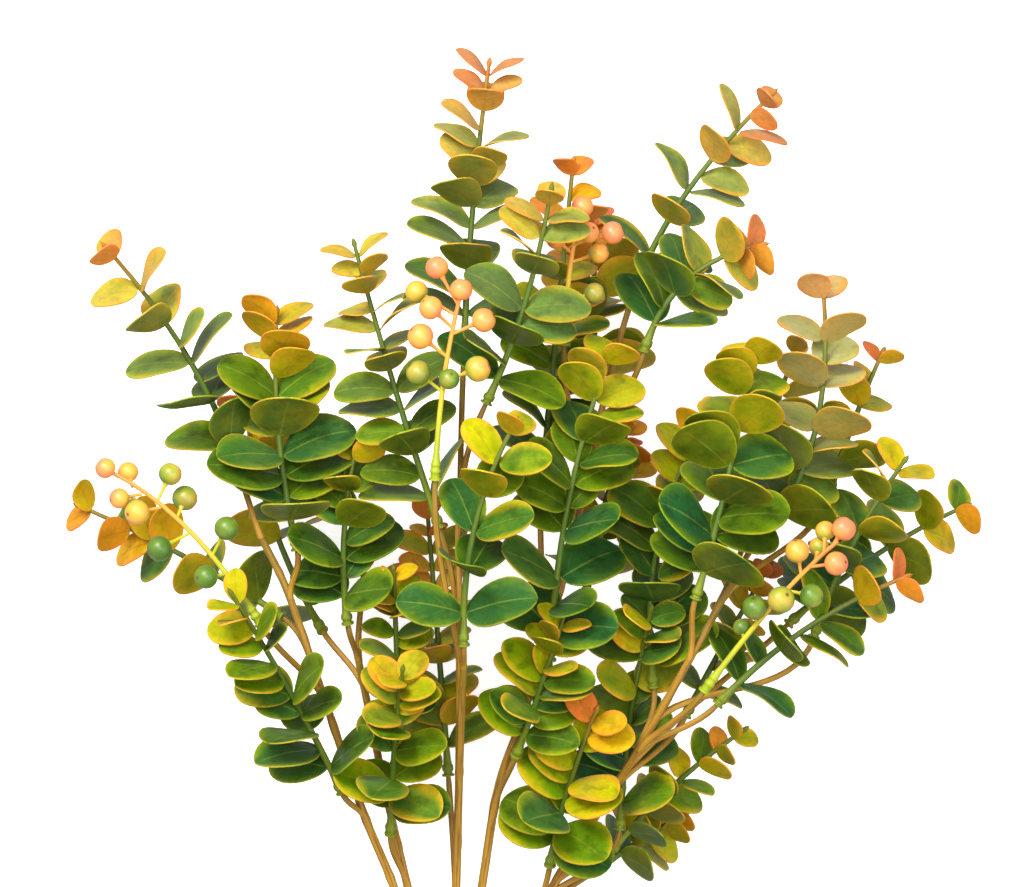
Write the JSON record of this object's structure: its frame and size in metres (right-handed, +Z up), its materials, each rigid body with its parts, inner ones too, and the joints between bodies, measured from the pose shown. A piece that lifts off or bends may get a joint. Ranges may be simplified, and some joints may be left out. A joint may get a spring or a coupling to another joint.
{
  "type": "artificial eucalyptus and gum nut spray",
  "caption": "Lying spray of moulded eucalyptus sprigs and gum nuts on forked tan stems that leave one stalk, for vases and table decoration.",
  "frame": {"origin": "on the surface that the spray lies on, under the middle of its bounding box", "axes": "+Y along the spray from the stalk to the leaf tips, +X to the right as seen from above, +Z up from the surface"},
  "size_m": [0.4622, 0.5526, 0.1747],
  "materials": {
    "stem": "satin tan moulded plastic with fine streaks along its length",
    "leaf": "soft satin green plastic, washed yellow-green to orange towards the sprig tips",
    "nut": "smooth satin orange to yellow-green plastic"
  },
  "bodies": {
    "root": {"stalk": "stem", "stem_left": "stem", "stem_left_inner": "stem", "stem_centre": "stem", "stem_right_inner": "stem", "stem_right": "stem", "gum_nut_spray_01": "nut", "gum_nut_spray_02": "nut", "gum_nut_spray_03": "nut", "gum_nut_spray_04": "nut", "gum_nut_spray_05": "nut", "gum_nut_spray_06": "nut", "leafy_sprig_01": "leaf", "leafy_sprig_02": "leaf", "leafy_sprig_03": "leaf", "leafy_sprig_04": "leaf", "leafy_sprig_05": "leaf", "leafy_sprig_06": "leaf", "leafy_sprig_07": "leaf", "leafy_sprig_08": "leaf", "leafy_sprig_09": "leaf", "leafy_sprig_10": "leaf", "leafy_sprig_11": "leaf", "leafy_sprig_12": "leaf", "leafy_sprig_13": "leaf", "leafy_sprig_14": "leaf", "leafy_sprig_15": "leaf", "leafy_sprig_16": "leaf", "leafy_sprig_17": "leaf", "leafy_sprig_18": "leaf", "leafy_sprig_19": "leaf", "leafy_sprig_20": "leaf", "leafy_sprig_21": "leaf", "leafy_sprig_22": "leaf", "leafy_sprig_23": "leaf", "leafy_sprig_24": "leaf", "leafy_sprig_25": "leaf", "leafy_sprig_26": "leaf", "leafy_sprig_27": "leaf", "leafy_sprig_28": "leaf", "leafy_sprig_29": "leaf", "leafy_sprig_30": "leaf", "leafy_sprig_31": "leaf", "leafy_sprig_32": "leaf", "leafy_sprig_33": "leaf"}
  },
  "joints": []
}
